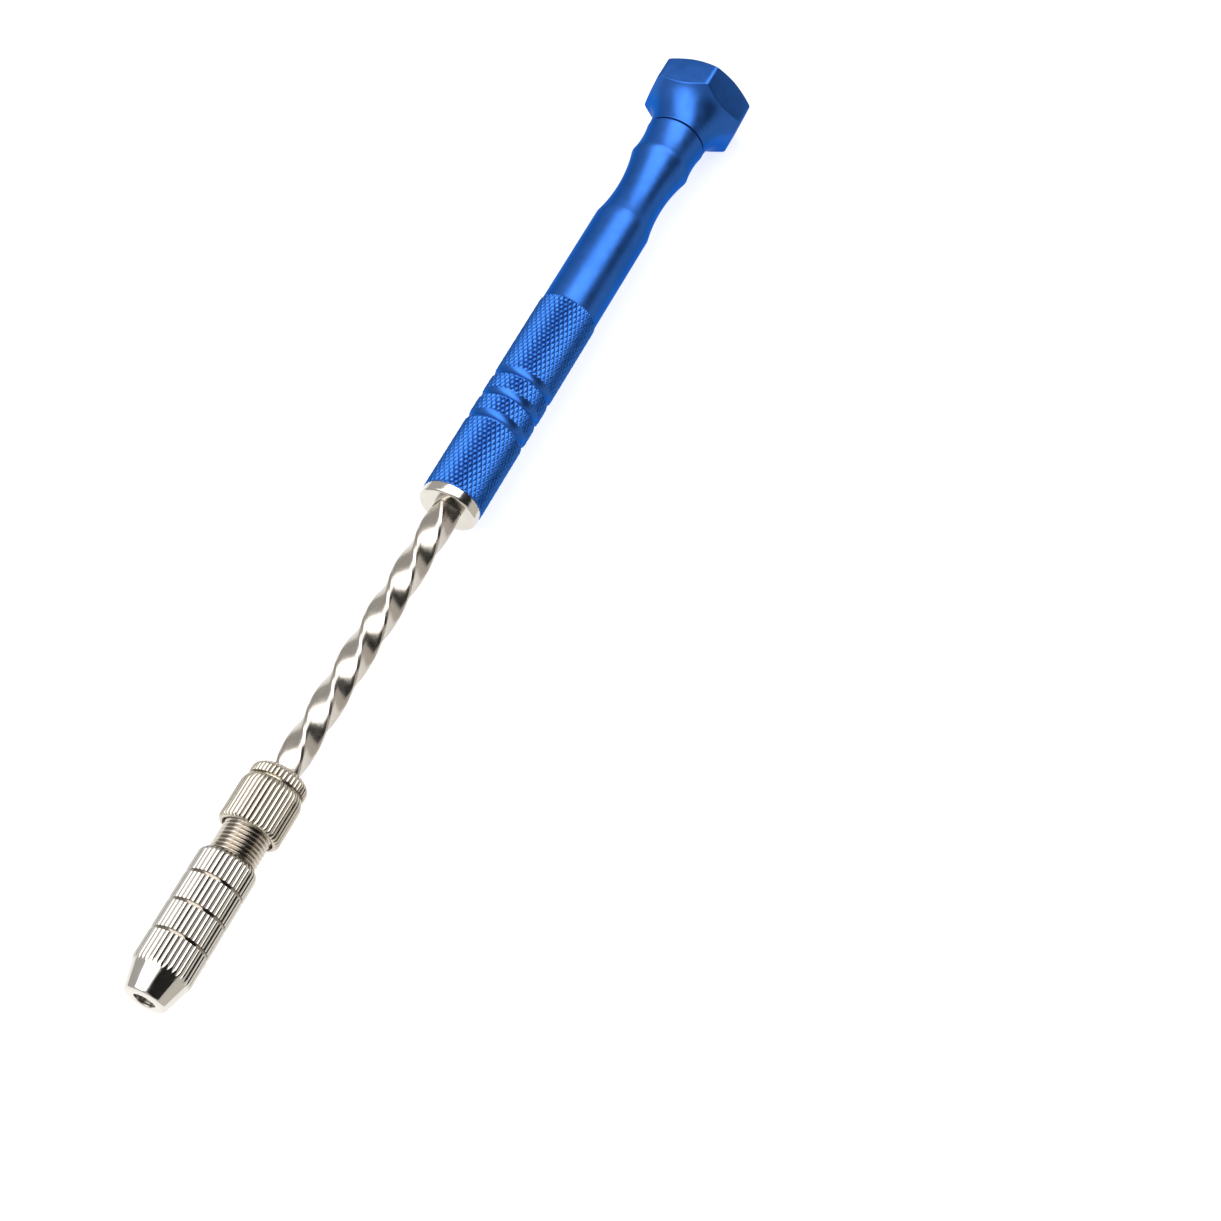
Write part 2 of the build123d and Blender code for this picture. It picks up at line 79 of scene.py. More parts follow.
HANDLE_REAR, HANDLE_FRONT, RING_REAR_R = node_span("handle_tube")
GUIDE_REAR, GUIDE_FACE, FLANGE_R = node_span("guide_nut")
SLEEVE_REAR, SLEEVE_FRONT, SLEEVE_R = node_span("rear_sleeve")
NOSE_REAR, NOSE_FACE, NOSE_R = node_span("nose_cap")
SHANK_REAR, STUD_FRONT, THREAD_R = node_span("chuck_body")
ROD_REAR, ROD_FRONT, SPIRAL_R = node_span("spiral_rod")
CAP_REAR, CAP_FRONT, CAP_CORNER_R = node_span("swivel_cap")
CAP_FLAT_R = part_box("swivel_cap")[1].z / MM

# --- handle
GRIP_R = 5.65
SMOOTH_R = 5.425
GRIP_LENGTH = 44.3
SMOOTH_LENGTH = 22.7
WAIST_LENGTH = 16.1
WAIST_R = 4.65
WAIST_MIN_SHARE = 0.47
RING_LENGTH = 6.8
RING_FRONT_R = 5.8
RING_MIDDLE_R = 5.525
GRIP_GROOVE_FIRST = 16.1
GRIP_GROOVE_PITCH = 5.0
GRIP_GROOVE_W = 1.9
GRIP_GROOVE_DEPTH = 0.4
GRIP_GROOVES = 3
SPIGOT_R = 4.5
SPIGOT_BORE_LENGTH = 9.0
HANDLE_BORE_R = 3.75
SCREW_WELL_R = 3.45
SCREW_WELL_LENGTH = 3.05
END_WALL = 3.5
END_HOLE_R = 2.05
KNURL_DIAMONDS = 36
KNURL_PITCH = 1.75
KNURL_DEPTH = 0.19
KNURL_SHAPE = ((0, 0.25, 0.5), (0, 0.86, 1))
KNURL_RUNOUT = 0.25
LATTICE = 4
GROOVE_CLEARANCE = 0.05
GROOVE_ROWS, SMOOTH_ROWS, WAIST_ROWS, RING_ROWS = 13, 16, 28, 14

# --- guide nut and spindle
SPIRAL_SIDE = 4.4
SPIRAL_LEAD = 38.0
SPIRAL_PHASE = 3.0
SPIRAL_EDGE = 0.09
SPIRAL_ROWS = 170
FLANGE_CHAMFER = 0.3
GUIDE_GAP = 0.1
GUIDE_EDGE = 0.06
GUIDE_MOUTH = 0.6
GUIDE_ROWS = 24
GUIDE_ROW_LENGTH = 0.4
TAIL_R = 1.8
TAIL_FRONT_LENGTH = 8.0
TAIL_REAR_LENGTH = 4.0

# --- return spring
SPRING_WIRE_R = 0.25
SPRING_MEAN_R = 3.0
SPRING_COILS = 18

# --- chuck
FLUTE_DEPTH = 0.22
FLUTE_SHAPE = (1.0, 0.4, 0.03, 0.0, 0.03, 0.4)
SLEEVE_FLUTES = 38
NOSE_FLUTES = 35
SLEEVE_RECESS_R = 4.6
SLEEVE_RECESS_DEPTH = 0.8
SLEEVE_COLLAR_LENGTH = 2.4
SLEEVE_COLLAR_R = 5.05
SLEEVE_COLLAR_CHAMFER = 0.9
SLEEVE_FRONT_CHAMFER = 0.5
SLEEVE_REAR_CHAMFER = 0.5
SLEEVE_REAR_CHAMFER_LENGTH = 1.2
SLEEVE_GROOVE_W = 0.4
SLEEVE_GROOVE_DEPTH = 0.7
SLEEVE_REAR_WALL = 0.6
SHANK_R = 3.5
SEAT_DEPTH = 2.0
POCKET_R = 2.5
POCKET_DEPTH = 9.39
THREAD_PITCH = 0.75
THREAD_DEPTH = 0.42
THREAD_SHAPE = ((0, 0.09, 0.45, 0.55, 0.91, 1), (1, 1, 0, 0, 1, 1))
THREAD_COLUMNS, THREAD_ROWS = 72, 8
THREAD_RUNOUT = 0.5
THREAD_GAP = 0.05
STUD_UNDERCUT = 0.3
STUD_END_LENGTH = 0.45
STUD_END_DROP = 0.1
STUD_CHAMFER = 0.55
NOSE_CONE_LENGTH = 5.4
NOSE_FACE_R = 3.75
NOSE_LIP_LENGTH = 0.2
NOSE_LIP_WIDTH = 0.5
NOSE_REAR_CHAMFER = 0.6
NOSE_REAR_CHAMFER_LENGTH = 0.75
NOSE_HOLE_CHAMFER = 0.15
NOSE_REAR_SHOULDER = 2.0
NOSE_BORE_EDGE = 0.3
NOSE_HOLE_R = 1.9
NOSE_HOLE_LENGTH = 0.7
NOSE_INNER_CONE = 9.61
NOSE_GROOVE_FIRST = 5.1
NOSE_GROOVE_PITCH = 5.4
NOSE_GROOVE_W = 0.5
NOSE_GROOVE_DEPTH = 0.35
NOSE_GROOVE_EDGE = 0.06
NOSE_GROOVES = 3

# --- swivel cap
CAP_NECK_R = 5.8
CAP_NECK_LENGTH = 0.3
CAP_FLARE_ANGLE = 66.0
CAP_CHAMFER_ANGLE = 30.0
CAP_THREAD_R = 1.5
CAP_THREAD_DEPTH = 6.6
CAP_CORNER_SIZE = 0.55
CAP_SIDE_COLUMNS = 20
CAP_END_R = 5
CAP_END_DROP = 0.03

# --- all pieces
EDGE = 0.12
HAIR = 0.02
LONGEST_CUT = 0.45


# --- meshes ----------------------------------------------------------------------------
def rounded(points, sizes, steps=3):
    """An outline with each inner corner cut back by its size and bridged by a short curve."""
    points = [np.array(p, float) for p in points]
    out = [points[0]]
    for before, corner, after, size in zip(points, points[1:], points[2:], sizes):
        back, ahead = before - corner, after - corner
        cut = min(size, LONGEST_CUT * np.linalg.norm(back), LONGEST_CUT * np.linalg.norm(ahead))
        if cut <= 0:
            out.append(corner)
            continue
        start = corner + back / np.linalg.norm(back) * cut
        end = corner + ahead / np.linalg.norm(ahead) * cut
        for step in range(steps + 1):
            t = step / steps
            out.append((1 - t) ** 2 * start + 2 * t * (1 - t) * corner + t * t * end)
    out.append(points[-1])
    return np.array(out)


def clipped(outline, limit):
    """The outline held under a largest radius, its slopes cut short where they reach it."""
    out = outline.copy()
    above = outline[:, 1] > limit
    for n in np.flatnonzero(above):
        out[n, 1] = limit
        for other in (n - 1, n + 1):
            if 0 <= other < len(outline) and not above[other]:
                rise = outline[n, 1] - outline[other, 1]
                share = (limit - outline[other, 1]) / rise
                out[n, 0] = outline[other, 0] + share * (outline[n, 0] - outline[other, 0])
                break
    return out


def grid_object(name, grid, loop, diagonals=None, height=None, sharp=35.0):
    """A closed mesh over a grid of points (rows, columns, xyz) whose columns go round X.

    loop joins the last row to the first. Otherwise both end rows are closed by a flat face.
    diagonals says which way each square is split. height is a mask of how high each point stands on
    its knurl, which the material uses for paler crests (partly wear, partly a painted highlight) and
    darker roots (partly oil, partly painted shade)."""
    rows, columns = grid.shape[:2]
    index = np.arange(rows * columns).reshape(rows, columns)
    upper = index if loop else index[:-1]
    lower = np.roll(index, -1, 0) if loop else index[1:]
    a, b = upper, np.roll(upper, -1, 1)
    d, c = lower, np.roll(lower, -1, 1)
    if diagonals is None:
        faces = np.stack([a, b, c, d], -1).reshape(-1, 4).tolist()
    else:
        split = diagonals[: a.shape[0]]
        one = np.where(split[..., None], np.stack([a, b, c], -1), np.stack([a, b, d], -1))
        two = np.where(split[..., None], np.stack([a, c, d], -1), np.stack([b, c, d], -1))
        faces = np.concatenate([one.reshape(-1, 3), two.reshape(-1, 3)]).tolist()
    if not loop:
        faces.append(index[0][::-1].tolist())
        faces.append(index[-1].tolist())
    mesh = bpy.data.meshes.new(name)
    mesh.from_pydata((grid.reshape(-1, 3) * MM).tolist(), [], faces)
    mesh.validate()
    if signed_volume(mesh) < 0:
        mesh.flip_normals()
    if height is not None:
        mask = mesh.attributes.new("crest", "FLOAT", "POINT")
        mask.data.foreach_set("value", np.asarray(height, np.float32).ravel())
    mesh.shade_smooth()
    mesh.set_sharp_from_angle(angle=radians(sharp))
    piece = bpy.data.objects.new(name, mesh)
    bpy.context.scene.collection.objects.link(piece)
    return piece


def signed_volume(mesh):
    """Six times the volume inside the mesh, negative if its faces point inwards."""
    mesh.calc_loop_triangles()
    corners = np.zeros(len(mesh.loop_triangles) * 3, np.int32)
    mesh.loop_triangles.foreach_get("vertices", corners)
    points = np.zeros(len(mesh.vertices) * 3, np.float32)
    mesh.vertices.foreach_get("co", points)
    p = points.reshape(-1, 3)[corners.reshape(-1, 3)]
    return float(np.einsum("ij,ij->i", p[:, 0], np.cross(p[:, 1], p[:, 2])).sum())


def around(x, r, angle):
    """Points at station x, radius r and an angle about X that starts at +Y."""
    x, r, angle = np.broadcast_arrays(x, r, angle)
    return np.stack([x, r * np.cos(angle), r * np.sin(angle)], -1)


def fluted_grid(outline, angles, depths, top, level=None):
    """A grid of (x, r) outline points turned about X under a straight knurl.

    Each column is held under top by its own depth. Rows between the stations in level are
    cut by that depth at any radius, so that flutes run over a rounded shoulder. This also
    cuts the rows of a bore that lie between them."""
    columns = {depth: clipped(outline, top - depth) for depth in set(depths)}
    if level is not None:
        shoulder = (outline[:, 0] > level[0]) & (outline[:, 0] < level[1])
        for depth, column in columns.items():
            column[shoulder] = outline[shoulder] - (0, depth)
    stack = np.stack([columns[depth] for depth in depths], 1)
    return around(stack[..., 0], stack[..., 1], angles[None, :])


def flute_columns(count):
    """Angles and depths of the columns of a straight knurl."""
    columns = count * len(FLUTE_SHAPE)
    angles = np.arange(columns) * tau / columns
    return angles, [round(FLUTE_DEPTH * share, 4) for share in FLUTE_SHAPE] * count


def crest_height(grid, low, high):
    """How near each point of a knurl is to its crests, from 0 to 1."""
    r = np.hypot(grid[..., 1], grid[..., 2])
    return np.clip((r - low) / (high - low), 0, 1)


# --- handle ----------------------------------------------------------------------------
def arc_points(start, middle, end, steps):
    """Points of (x, r) along the hollow arc through three points."""
    (ax, ay), (bx, by), (cx, cy) = start, middle, end
    d = 2 * (ax * (by - cy) + bx * (cy - ay) + cx * (ay - by))
    a2, b2, c2 = ax * ax + ay * ay, bx * bx + by * by, cx * cx + cy * cy
    ux = (a2 * (by - cy) + b2 * (cy - ay) + c2 * (ay - by)) / d
    uy = (a2 * (cx - bx) + b2 * (ax - cx) + c2 * (bx - ax)) / d
    radius = sqrt((ax - ux) ** 2 + (ay - uy) ** 2)
    xs = np.linspace(ax, cx, steps)
    return [(x, uy - sqrt(radius ** 2 - (x - ux) ** 2)) for x in xs]


def grip_radius(x):
    """The grip's turned radius at x, before it is knurled: three round grooves."""
    half = GRIP_GROOVE_W / 2
    bow = (half ** 2 + GRIP_GROOVE_DEPTH ** 2) / 2 / GRIP_GROOVE_DEPTH
    for n in range(GRIP_GROOVES):
        away = abs(x - (HANDLE_FRONT - GRIP_GROOVE_FIRST - n * GRIP_GROOVE_PITCH))
        if away < half:
            return GRIP_R - GRIP_GROOVE_DEPTH + bow - sqrt(bow ** 2 - away ** 2)
    return GRIP_R


def grip_stations():
    """Stations of the grip's rows: the knurl's lattice, and finer rows in the ring grooves."""
    step = KNURL_PITCH / LATTICE
    xs = list(np.arange(HANDLE_FRONT - step, HANDLE_FRONT - GRIP_LENGTH, -step))
    half = GRIP_GROOVE_W / 2
    for n in range(GRIP_GROOVES):
        middle = HANDLE_FRONT - GRIP_GROOVE_FIRST - n * GRIP_GROOVE_PITCH
        xs = [x for x in xs if abs(x - middle) > half + GROOVE_CLEARANCE]
        xs += list(middle + half * np.linspace(-1, 1, GROOVE_ROWS))
    return sorted(xs, reverse=True)


def handle_outline():
    """The handle's turned outline, from its front face over the outside and back up the bore."""
    grip_rear = HANDLE_FRONT - GRIP_LENGTH
    waist_front = grip_rear - SMOOTH_LENGTH
    ring_front = waist_front - WAIST_LENGTH
    waist_middle = (waist_front - WAIST_LENGTH * WAIST_MIN_SHARE, WAIST_R)
    ring_middle = (ring_front - RING_LENGTH / 2, RING_MIDDLE_R)
    grip = [(x, grip_radius(x)) for x in grip_stations()]
    front = rounded([(HANDLE_FRONT, SPIGOT_R), (HANDLE_FRONT, GRIP_R), grip[0]], [EDGE])
    behind = [
        (grip_rear, GRIP_R), (grip_rear - HAIR, GRIP_R - KNURL_DEPTH),
        (grip_rear - KNURL_RUNOUT, SMOOTH_R),
    ]
    smooth_front = grip_rear - 2 * KNURL_RUNOUT
    smooth = [(x, SMOOTH_R) for x in np.linspace(smooth_front, waist_front, SMOOTH_ROWS)]
    waist_ends = (waist_front, SMOOTH_R), (ring_front, RING_FRONT_R)
    waist = arc_points(waist_ends[0], waist_middle, waist_ends[1], WAIST_ROWS)
    ring = arc_points(waist_ends[1], ring_middle, (HANDLE_REAR, RING_REAR_R), RING_ROWS)
    rear = rounded([ring[-2], ring[-1], (HANDLE_REAR, END_HOLE_R)], [EDGE])
    wall = HANDLE_REAR + END_WALL
    well = wall + SCREW_WELL_LENGTH
    bore = HANDLE_FRONT - SPIGOT_BORE_LENGTH
    inside = [
        (wall, END_HOLE_R), (wall, SCREW_WELL_R), (well, SCREW_WELL_R),
        (well, HANDLE_BORE_R), (bore, HANDLE_BORE_R), (bore, SPIGOT_R),
    ]
    return np.concatenate(
        [front[:-1], grip, behind, smooth, waist[1:], ring[1:-2], rear, inside]
    )


def make_handle():
    """The handle tube, its grip cut by a crossed knurl whose rows and columns share a lattice."""
    columns = KNURL_DIAMONDS * LATTICE
    angles = np.arange(columns) * tau / columns
    step = KNURL_PITCH / LATTICE
    valley = GRIP_R - KNURL_DEPTH
    outline = handle_outline()
    x, r = outline[:, 0, None], outline[:, 1, None]
    i = np.arange(columns)[None, :]
    j = (HANDLE_FRONT - x) / step
    u, v = (i + j) / LATTICE, (i - j) / LATTICE
    du, dv = np.abs(u - np.round(u)), np.abs(v - np.round(v))
    knurl = valley + KNURL_DEPTH * np.interp(np.minimum(du, dv), *KNURL_SHAPE)
    outside = r > (SPIGOT_R + GRIP_R) / 2
    on_grip = (x >= HANDLE_FRONT - GRIP_LENGTH) & (x <= HANDLE_FRONT) & outside
    radius = np.where(on_grip, np.minimum(knurl, r), r)
    grid = around(x, radius, angles[None, :])
    rows = np.round(j).astype(int)
    on_u, on_v = (i + rows + 1) % LATTICE == 0, (i - rows) % LATTICE == 0
    diagonals = np.where(on_u, False, np.where(on_v, True, du > dv))
    height = np.where(on_grip, (radius - valley) / KNURL_DEPTH, 0.5)
    handle = grid_object("handle_knurled", grid, True, diagonals, np.clip(height, 0, 1), 40)
    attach(handle, "handle")
    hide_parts("handle_tube")
    return handle


# --- spindle and guide nut -------------------------------------------------------------
def spindle_angle(x):
    """Turn of the twisted section at x."""
    return radians(SPIRAL_PHASE) - tau * x / SPIRAL_LEAD


def square_section(side, radius, edge, steps=9):
    """(angles, radii) round a square with its corners ground to a radius and edges eased."""
    half = side / 2
    corner = acos(half / radius)
    ease = edge / radius
    flat = np.linspace(-corner + ease, corner - ease, steps)
    angles = list(flat) + [corner]
    radii = [half / cos(a) for a in flat] + [(radius + half / cos(corner - ease)) / 2 - edge / 8]
    land = np.linspace(corner + ease, pi / 2 - corner - ease, 4)
    angles += list(land) + [pi / 2 - corner]
    radii += [radius] * len(land) + [radii[steps]]
    turns = np.arange(4) * pi / 2
    return (turns[:, None] + np.array(angles)).ravel(), np.tile(radii, 4)


def make_spindle():
    """The twisted rod, square with ground corners, and its two round tails."""
    angles, radii = square_section(SPIRAL_SIDE, SPIRAL_R, SPIRAL_EDGE)
    front, rear = ROD_FRONT - TAIL_FRONT_LENGTH, ROD_REAR + TAIL_REAR_LENGTH
    stations = np.linspace(front, rear, SPIRAL_ROWS)
    rings = [around(ROD_FRONT, TAIL_R, angles + spindle_angle(front))]
    rings.append(around(front, TAIL_R, angles + spindle_angle(front)))
    rings += [around(x, radii, angles + spindle_angle(x)) for x in stations]
    rings.append(around(rear, TAIL_R, angles + spindle_angle(rear)))
    rings.append(around(ROD_REAR, TAIL_R, angles + spindle_angle(rear)))
    spindle = grid_object("spindle_twisted", np.stack(rings), False, sharp=28)
    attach(spindle, "spindle")
    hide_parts("spiral_rod")
    return spindle


def make_guide_nut():
    """The plated nut in the handle's front end, with the twisted hole that the rod runs in."""
    side, hole_r = SPIRAL_SIDE + 2 * GUIDE_GAP, SPIRAL_R + GUIDE_GAP
    mouth_r = hole_r + GUIDE_MOUTH
    angles, radii = square_section(side, hole_r, GUIDE_EDGE)
    outside = rounded(
        [
            (GUIDE_FACE, mouth_r), (GUIDE_FACE, FLANGE_R - FLANGE_CHAMFER),
            (GUIDE_FACE - FLANGE_CHAMFER, FLANGE_R), (HANDLE_FRONT, FLANGE_R),
            (HANDLE_FRONT, SPIGOT_R), (GUIDE_REAR, SPIGOT_R), (GUIDE_REAR, mouth_r),
        ],
        [EDGE, EDGE, 0.1, 0.1, 0.3],
    )
    dense = [outside[0]]
    for a, b in zip(outside, outside[1:]):
        pieces = max(1, int(abs(b[0] - a[0]) / GUIDE_ROW_LENGTH))
        dense += [a + (b - a) * n / pieces for n in range(1, pieces + 1)]
    rings = [around(x, r, angles + spindle_angle(x)) for x, r in dense]
    for x in np.linspace(GUIDE_REAR, GUIDE_FACE, GUIDE_ROWS):
        rings.append(around(x, radii, angles + spindle_angle(x)))
    nut = grid_object("guide_nut_plated", np.stack(rings), True, sharp=28)
    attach(nut, "handle")
    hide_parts("guide_nut")
    return nut


def make_spring():
    """The coil between the plate and the follower, made at one length; on the real tool it shortens as
    the handle is pushed.
    """
    rear, front, _ = node_span("return_spring")
    length = front - rear
    rows, columns = SPRING_COILS * 24, 10
    share = np.linspace(0, 1, rows + 1)[:, None]
    turn, section = share * SPRING_COILS * tau, np.arange(columns)[None, :] * tau / columns
    x = rear + SPRING_WIRE_R + share * (length - 2 * SPRING_WIRE_R) + SPRING_WIRE_R * np.sin(section)
    grid = around(x, SPRING_MEAN_R + SPRING_WIRE_R * np.cos(section), turn)
    spring = grid_object("return_spring_coil", grid, False, sharp=40)
    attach(spring, "handle")
    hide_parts("return_spring")
    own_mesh(spring)
    return spring


# --- chuck -----------------------------------------------------------------------------
def make_sleeve():
    """The fluted rear sleeve, with a narrow groove behind which its collar lies."""
    angles, depths = flute_columns(SLEEVE_FLUTES)
    groove_rear = SLEEVE_REAR + SLEEVE_COLLAR_LENGTH
    groove_front = groove_rear + SLEEVE_GROOVE_W
    floor_r = SLEEVE_COLLAR_R - SLEEVE_GROOVE_DEPTH
    hole_r = SPIRAL_R + GUIDE_GAP
    shank_rear = SLEEVE_REAR + SLEEVE_REAR_WALL
    recess = SLEEVE_FRONT - SLEEVE_RECESS_DEPTH
    collar = rounded(
        [
            (shank_rear, SHANK_R), (shank_rear, hole_r), (SLEEVE_REAR, hole_r),
            (SLEEVE_REAR, SLEEVE_COLLAR_R - SLEEVE_COLLAR_CHAMFER),
            (SLEEVE_REAR + SLEEVE_COLLAR_CHAMFER, SLEEVE_COLLAR_R),
            (groove_rear, SLEEVE_COLLAR_R), (groove_rear, floor_r), (groove_front, floor_r),
        ],
        [0, 0.15, 0.3, 0.45, 0.1, 0.05],
    )
    barrel = rounded(
        [
            (groove_front, floor_r), (groove_front, SLEEVE_R - SLEEVE_REAR_CHAMFER),
            (groove_front + SLEEVE_REAR_CHAMFER_LENGTH, SLEEVE_R),
            (SLEEVE_FRONT - SLEEVE_FRONT_CHAMFER, SLEEVE_R),
            (SLEEVE_FRONT, SLEEVE_R - SLEEVE_FRONT_CHAMFER), (SLEEVE_FRONT, SLEEVE_RECESS_R),
            (recess, SLEEVE_RECESS_R), (recess, SHANK_R),
        ],
        [0.2, 0.6, 0.3, 0.2, 0.1, 0.05],
    )
    collar_stretch = (SLEEVE_REAR + HAIR, groove_rear - HAIR)
    collar_grid = fluted_grid(collar, angles, depths, SLEEVE_COLLAR_R, collar_stretch)
    barrel_stretch = (groove_front + HAIR, SLEEVE_FRONT - SLEEVE_FRONT_CHAMFER / 2)
    barrel_grid = fluted_grid(barrel[1:], angles, depths, SLEEVE_R, barrel_stretch)
    grid = np.concatenate([collar_grid, barrel_grid])
    height = np.broadcast_to(1 - np.array(depths) / FLUTE_DEPTH, grid.shape[:2])
    sleeve = grid_object("rear_sleeve_fluted", grid, True, height=height, sharp=32)
    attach(sleeve, "spindle")
    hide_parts("rear_sleeve")
    return sleeve


def make_nose():
    """The fluted nose cap: three ring grooves, a polished cone and the hole for the drill."""
    angles, depths = flute_columns(NOSE_FLUTES)
    cone_rear = NOSE_FACE - NOSE_CONE_LENGTH
    mouth = NOSE_FACE - NOSE_HOLE_LENGTH
    bore_r = THREAD_R + THREAD_GAP
    floor_r = NOSE_R - NOSE_GROOVE_DEPTH
    outside = [
        (NOSE_REAR, bore_r), (NOSE_REAR, NOSE_R - NOSE_REAR_CHAMFER),
        (NOSE_REAR + NOSE_REAR_CHAMFER_LENGTH, NOSE_R),
    ]
    sizes = [0.15, 0.5]
    for n in reversed(range(NOSE_GROOVES)):
        middle = cone_rear - NOSE_GROOVE_FIRST - n * NOSE_GROOVE_PITCH
        low, high = middle - NOSE_GROOVE_W / 2, middle + NOSE_GROOVE_W / 2
        outside += [
            (low - NOSE_GROOVE_EDGE, NOSE_R), (low, floor_r),
            (high, floor_r), (high + NOSE_GROOVE_EDGE, NOSE_R),
        ]
        sizes += [NOSE_GROOVE_EDGE] * 4
    lip = (NOSE_FACE - NOSE_LIP_LENGTH, NOSE_FACE_R)
    fluted_end = NOSE_R - FLUTE_DEPTH - HAIR
    slope = (lip[0] - cone_rear) / (NOSE_R - lip[1])
    outside += [(cone_rear, NOSE_R), (cone_rear + slope * (NOSE_R - fluted_end), fluted_end)]
    outside += [lip, (NOSE_FACE, NOSE_FACE_R - NOSE_LIP_WIDTH)]
    sizes += [0.1, 0, 0.5, 0.35]
    inside = [
        (NOSE_FACE, NOSE_HOLE_R + NOSE_HOLE_CHAMFER),
        (NOSE_FACE - NOSE_HOLE_CHAMFER, NOSE_HOLE_R), (mouth, NOSE_HOLE_R),
        (mouth - NOSE_INNER_CONE, bore_r), (NOSE_REAR + NOSE_BORE_EDGE, bore_r),
    ]
    sizes += [0.06, 0.06, 0.1, 0.5]
    outline = rounded(outside + inside, sizes)
    rear_shoulder = (NOSE_REAR + HAIR, NOSE_REAR + NOSE_REAR_SHOULDER)
    grid = fluted_grid(outline, angles, depths, NOSE_R, rear_shoulder)
    height = crest_height(grid, NOSE_R - FLUTE_DEPTH, NOSE_R)
    height[grid[..., 0] > cone_rear + HAIR] = 1
    nose = grid_object("nose_cap_fluted", grid, True, height=height, sharp=32)
    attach(nose, "nose")
    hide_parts("nose_cap")
    return nose


def thread_radius(x, angle):
    """Radius of the right-hand thread at a station and an angle."""
    phase = (x / THREAD_PITCH - angle / tau) % 1.0
    return THREAD_R - THREAD_DEPTH * (1 - np.interp(phase, *THREAD_SHAPE))


def make_chuck_body():
    """The chuck's body: rod seat, shank, threaded stud and the pocket behind the collet."""
    angles = np.arange(THREAD_COLUMNS) * tau / THREAD_COLUMNS
    shoulder = SLEEVE_FRONT - SLEEVE_RECESS_DEPTH
    seat = SHANK_REAR + SEAT_DEPTH
    stud = np.arange(shoulder + THREAD_GAP, STUD_FRONT - THREAD_RUNOUT, THREAD_PITCH / THREAD_ROWS)
    rear = [
        (seat + TAIL_FRONT_LENGTH, TAIL_R), (seat, TAIL_R), (seat, SPIRAL_R),
        (SHANK_REAR, SPIRAL_R), (SHANK_REAR, SHANK_R), (shoulder, SHANK_R),
        (shoulder, THREAD_R - STUD_UNDERCUT),
    ]
    front = [
        (STUD_FRONT - STUD_END_LENGTH, THREAD_R - STUD_END_DROP),
        (STUD_FRONT, THREAD_R - STUD_CHAMFER),
        (STUD_FRONT, POCKET_R), (STUD_FRONT - POCKET_DEPTH, POCKET_R),
    ]
    outline = np.array(rear + [(x, THREAD_R) for x in stud] + front)
    threaded = np.zeros(len(outline), bool)
    threaded[len(rear):-len(front)] = True
    x, r = outline[:, 0, None], outline[:, 1, None]
    cut = thread_radius(x, angles[None, :])
    radius = np.where(threaded[:, None], np.minimum(r, cut), r)
    grid = around(x, radius, angles[None, :])
    height = np.where(threaded[:, None], (radius - THREAD_R + THREAD_DEPTH) / THREAD_DEPTH, 0.5)
    body = grid_object("chuck_body_threaded", grid, False, height=height, sharp=50)
    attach(body, "spindle")
    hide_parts("chuck_body")
    return body


# --- swivel cap ------------------------------------------------------------------------
def hexagon_columns():
    """Angles and radii round the cap's hexagon, which has a flat facing down."""
    corners = [around(0, CAP_CORNER_R, radians(60 * n))[1:] for n in range(6)]
    points = []
    for n in range(6):
        before, corner, after = corners[n - 1], corners[n], corners[(n + 1) % 6]
        back = (before - corner) / np.linalg.norm(before - corner) * CAP_CORNER_SIZE
        ahead = (after - corner) / np.linalg.norm(after - corner) * CAP_CORNER_SIZE
        start, end = corner + back, corner + ahead
        for t in np.linspace(0, 1, 6):
            points.append((1 - t) ** 2 * start + 2 * t * (1 - t) * corner + t * t * end)
        for t in np.linspace(0, 1, CAP_SIDE_COLUMNS)[1:-1]:
            points.append(end + (after - ahead - end) * t)
    points = np.array(points)
    return np.arctan2(points[:, 1], points[:, 0]), np.hypot(points[:, 0], points[:, 1])


def cap_column(hex_r):
    """The cap's outline at one column, from its neck to its end face."""
    flare_r = (CAP_CORNER_R - CAP_NECK_R) / (1 - cos(radians(CAP_FLARE_ANGLE)))
    flare_front = CAP_FRONT - CAP_NECK_LENGTH
    reach = acos(1 - (hex_r - CAP_NECK_R) / flare_r)
    flare = [
        (flare_front - flare_r * sin(reach * t), CAP_NECK_R + flare_r * (1 - cos(reach * t)))
        for t in np.linspace(0, 1, 18)
    ]
    slope = tan(radians(CAP_CHAMFER_ANGLE))
    chamfer_x = CAP_REAR + (hex_r - CAP_FLAT_R) * slope + HAIR
    easing = rounded([flare[-2], flare[-1], (chamfer_x, hex_r)], [0.14], 4)
    top = rounded(
        [
            (chamfer_x + 1, hex_r), (chamfer_x, hex_r),
            (CAP_REAR, CAP_FLAT_R - CAP_END_DROP), (CAP_REAR, CAP_END_R),
        ],
        [EDGE, 0.3], 4,
    )
    front = rounded([(CAP_FRONT, CAP_THREAD_R), (CAP_FRONT, CAP_NECK_R), flare[0]], [0.15])
    hole = [(CAP_FRONT - CAP_THREAD_DEPTH, CAP_THREAD_R)]
    return np.concatenate([hole, front[:-1], flare[:-1], easing[1:-1], top[1:]])


def make_cap():
    """The turning cap, whose hexagon grows out of a round neck."""
    angles, radii = hexagon_columns()
    stack = np.stack([cap_column(r) for r in radii], 1)
    grid = around(stack[..., 0], stack[..., 1], angles[None, :])
    cap = grid_object("swivel_cap_flared", grid, False, sharp=24)
    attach(cap, "cap")
    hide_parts("swivel_cap")
    return cap


